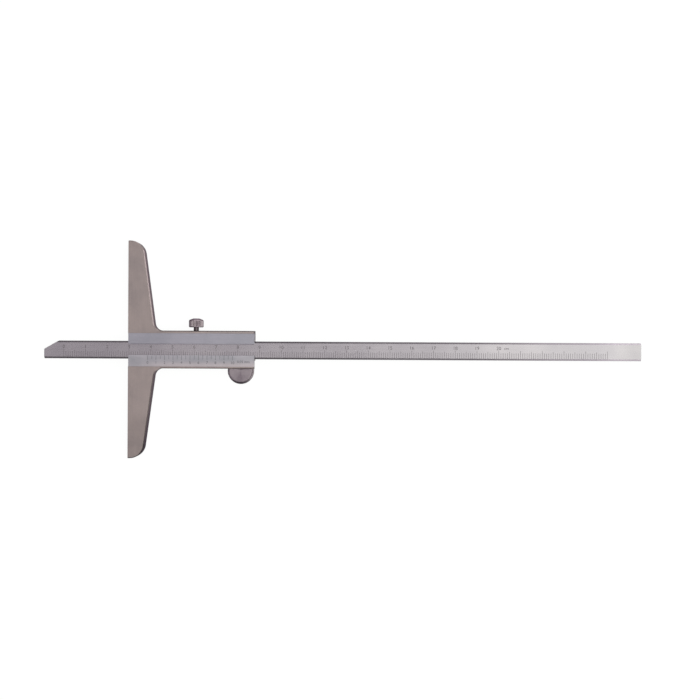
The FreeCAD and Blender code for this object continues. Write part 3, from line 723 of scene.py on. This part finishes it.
# painted shade: the head's sides are darker and its left side darker still; the end face stays light
knobSteel = steel("knobSteel", {
    "colour": shade(152, 137, 145), "roughness": 0.32, "patchScale": 0.4, "lineScale": (4.0, 0.4, 4.0),
    "lineDepth": 0.08, "groove": 0.46, "grazing": grazingShade,
    "paintedShadeAndHighlight": [([("lean", 0.98, 0.45), ("Y", 14.2, 13.8)], 0.50),
               ([("lean", 0.98, 0.60), ("Y", 14.2, 13.8), ("X", 31.0, 28.6)], 0.60)]})


def makeLockScrew():
    grid, groove = lockSurface(lockShape)
    middles = np.array([[lockShape["x"], lockShape["tip"], lockShape["z"]],
                        [lockShape["x"], lockShape["top"] - 0.06, lockShape["z"]]])
    screw = addPiece("lockingScrew", np.vstack([grid.reshape(-1, 3), middles]), roundTube(grid), knobSteel,
                     "clamp_screw", groove=np.append(groove.ravel(), [0.0, 0.0]))
    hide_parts("lock_screw")


makeLockScrew()
print("locking screw made")


# thumb roller

rollerShape = {
    "x": 51.5, "y": -9.47,                  # mm, its axis runs along Z
    "bore": 1.0, "boreTop": 4.2,
    "bottom": 1.45, "step": 2.45, "front": 5.0,
    "flange": 6.2, "drum": 5.35,
    "fall": 0.30,                           # the flange's front slopes down to its edge by this much
    "teeth": 60, "toothDepth": 0.22,
    "turning": 0.45, "turningDepth": 0.010, # rings left by the tool on the face
    "steps": 360, "rowsPerRing": 6,
}


def rollerSurface(shape):
    # A turned shape: radius as a function of the place along its outline and of the angle. The flange's
    # radius falls by the tooth's depth as the cosine of teeth times the angle. The face falls by the turning
    # depth as a cosine of its radius.
    drum, front = shape["drum"], shape["front"]
    lip = shape["step"] - shape["fall"]
    faceRadii = np.arange(drum - 0.55, 0.25, -shape["turning"] / shape["rowsPerRing"])
    ringTurn = 2 * math.pi * faceRadii / shape["turning"]
    faceLevels = front - shape["turningDepth"] * (0.5 - 0.5 * np.cos(ringTurn))
    outline = np.array([                    # radius and level, with small offsets that round the corners
        (shape["bore"], shape["boreTop"]), (shape["bore"], shape["bottom"] + 0.15),
        (shape["bore"] + 0.15, shape["bottom"]), (shape["flange"] - 0.20, shape["bottom"]),
        (shape["flange"] - 0.05, shape["bottom"] + 0.05), (shape["flange"], shape["bottom"] + 0.18),
        (shape["flange"], lip - 0.14), (shape["flange"] - 0.04, lip - 0.04),
        (shape["flange"] - 0.14, lip + 0.03), (drum + 0.12, shape["step"] - 0.03),
        (drum + 0.04, shape["step"]), (drum, shape["step"] + 0.06),
        (drum, front - 0.45), (drum - 0.06, front - 0.22), (drum - 0.22, front - 0.06), (drum - 0.45, front)])
    outline = np.vstack([outline, np.column_stack([faceRadii, faceLevels]), [[0.12, front - 0.05]]])
    angle = np.linspace(0.0, 2 * math.pi, shape["steps"], endpoint=False)
    r = np.repeat(outline[:, :1], shape["steps"], axis=1)
    z = np.repeat(outline[:, 1:], shape["steps"], axis=1)
    onFlange = (r > shape["flange"] - 0.1) & (z < shape["step"])
    grip = 0.5 - 0.5 * np.cos(shape["teeth"] * angle[None])
    r = r - onFlange * shape["toothDepth"] * grip
    # painted shade: the groove attribute is darkest in the valleys of the flange's teeth and at the corner at
    # the drum's foot
    corner = (np.abs(z - shape["step"]) < 0.02) & (r < drum + 0.1) & (r > drum)
    groove = np.maximum(onFlange * (0.4 + 0.6 * grip), corner)
    return np.stack([shape["x"] + r * np.cos(angle), shape["y"] + r * np.sin(angle), z], axis=-1), groove


# painted shade: upright faces are darker, and the sloping flange and the drum's rounded edge are much darker
# along the roller's bottom; this turns with the roller
rollerSteel = steel("rollerSteel", {
    "colour": shade(128, 116, 124), "roughness": 0.42, "turned": 0.85, "patchScale": 0.2,
    "lineScale": (2.0, 2.0, 2.0), "patchDepth": 0.02, "grainDepth": 0.02, "lineDepth": 0.02, "bump": 0.02,
    "groove": 0.25, "grazing": grazingShade,
    "paintedShadeAndHighlight": [([upright], 0.60), ([("lean", 0.97, 0.90), ("Y", -12.6, -15.2)], 0.30)]})


def makeRoller():
    grid, groove = rollerSurface(rollerShape)
    middles = np.array([[rollerShape["x"], rollerShape["y"], rollerShape["boreTop"]],
                        [rollerShape["x"], rollerShape["y"], rollerShape["front"] - 0.05]])
    wheel = addPiece("thumbWheel", np.vstack([grid.reshape(-1, 3), middles]), roundTube(grid), rollerSteel,
                     "roller", groove=np.append(groove.ravel(), [0.0, 0.0]))
    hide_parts("thumb_roller")


makeRoller()
print("thumb roller made")
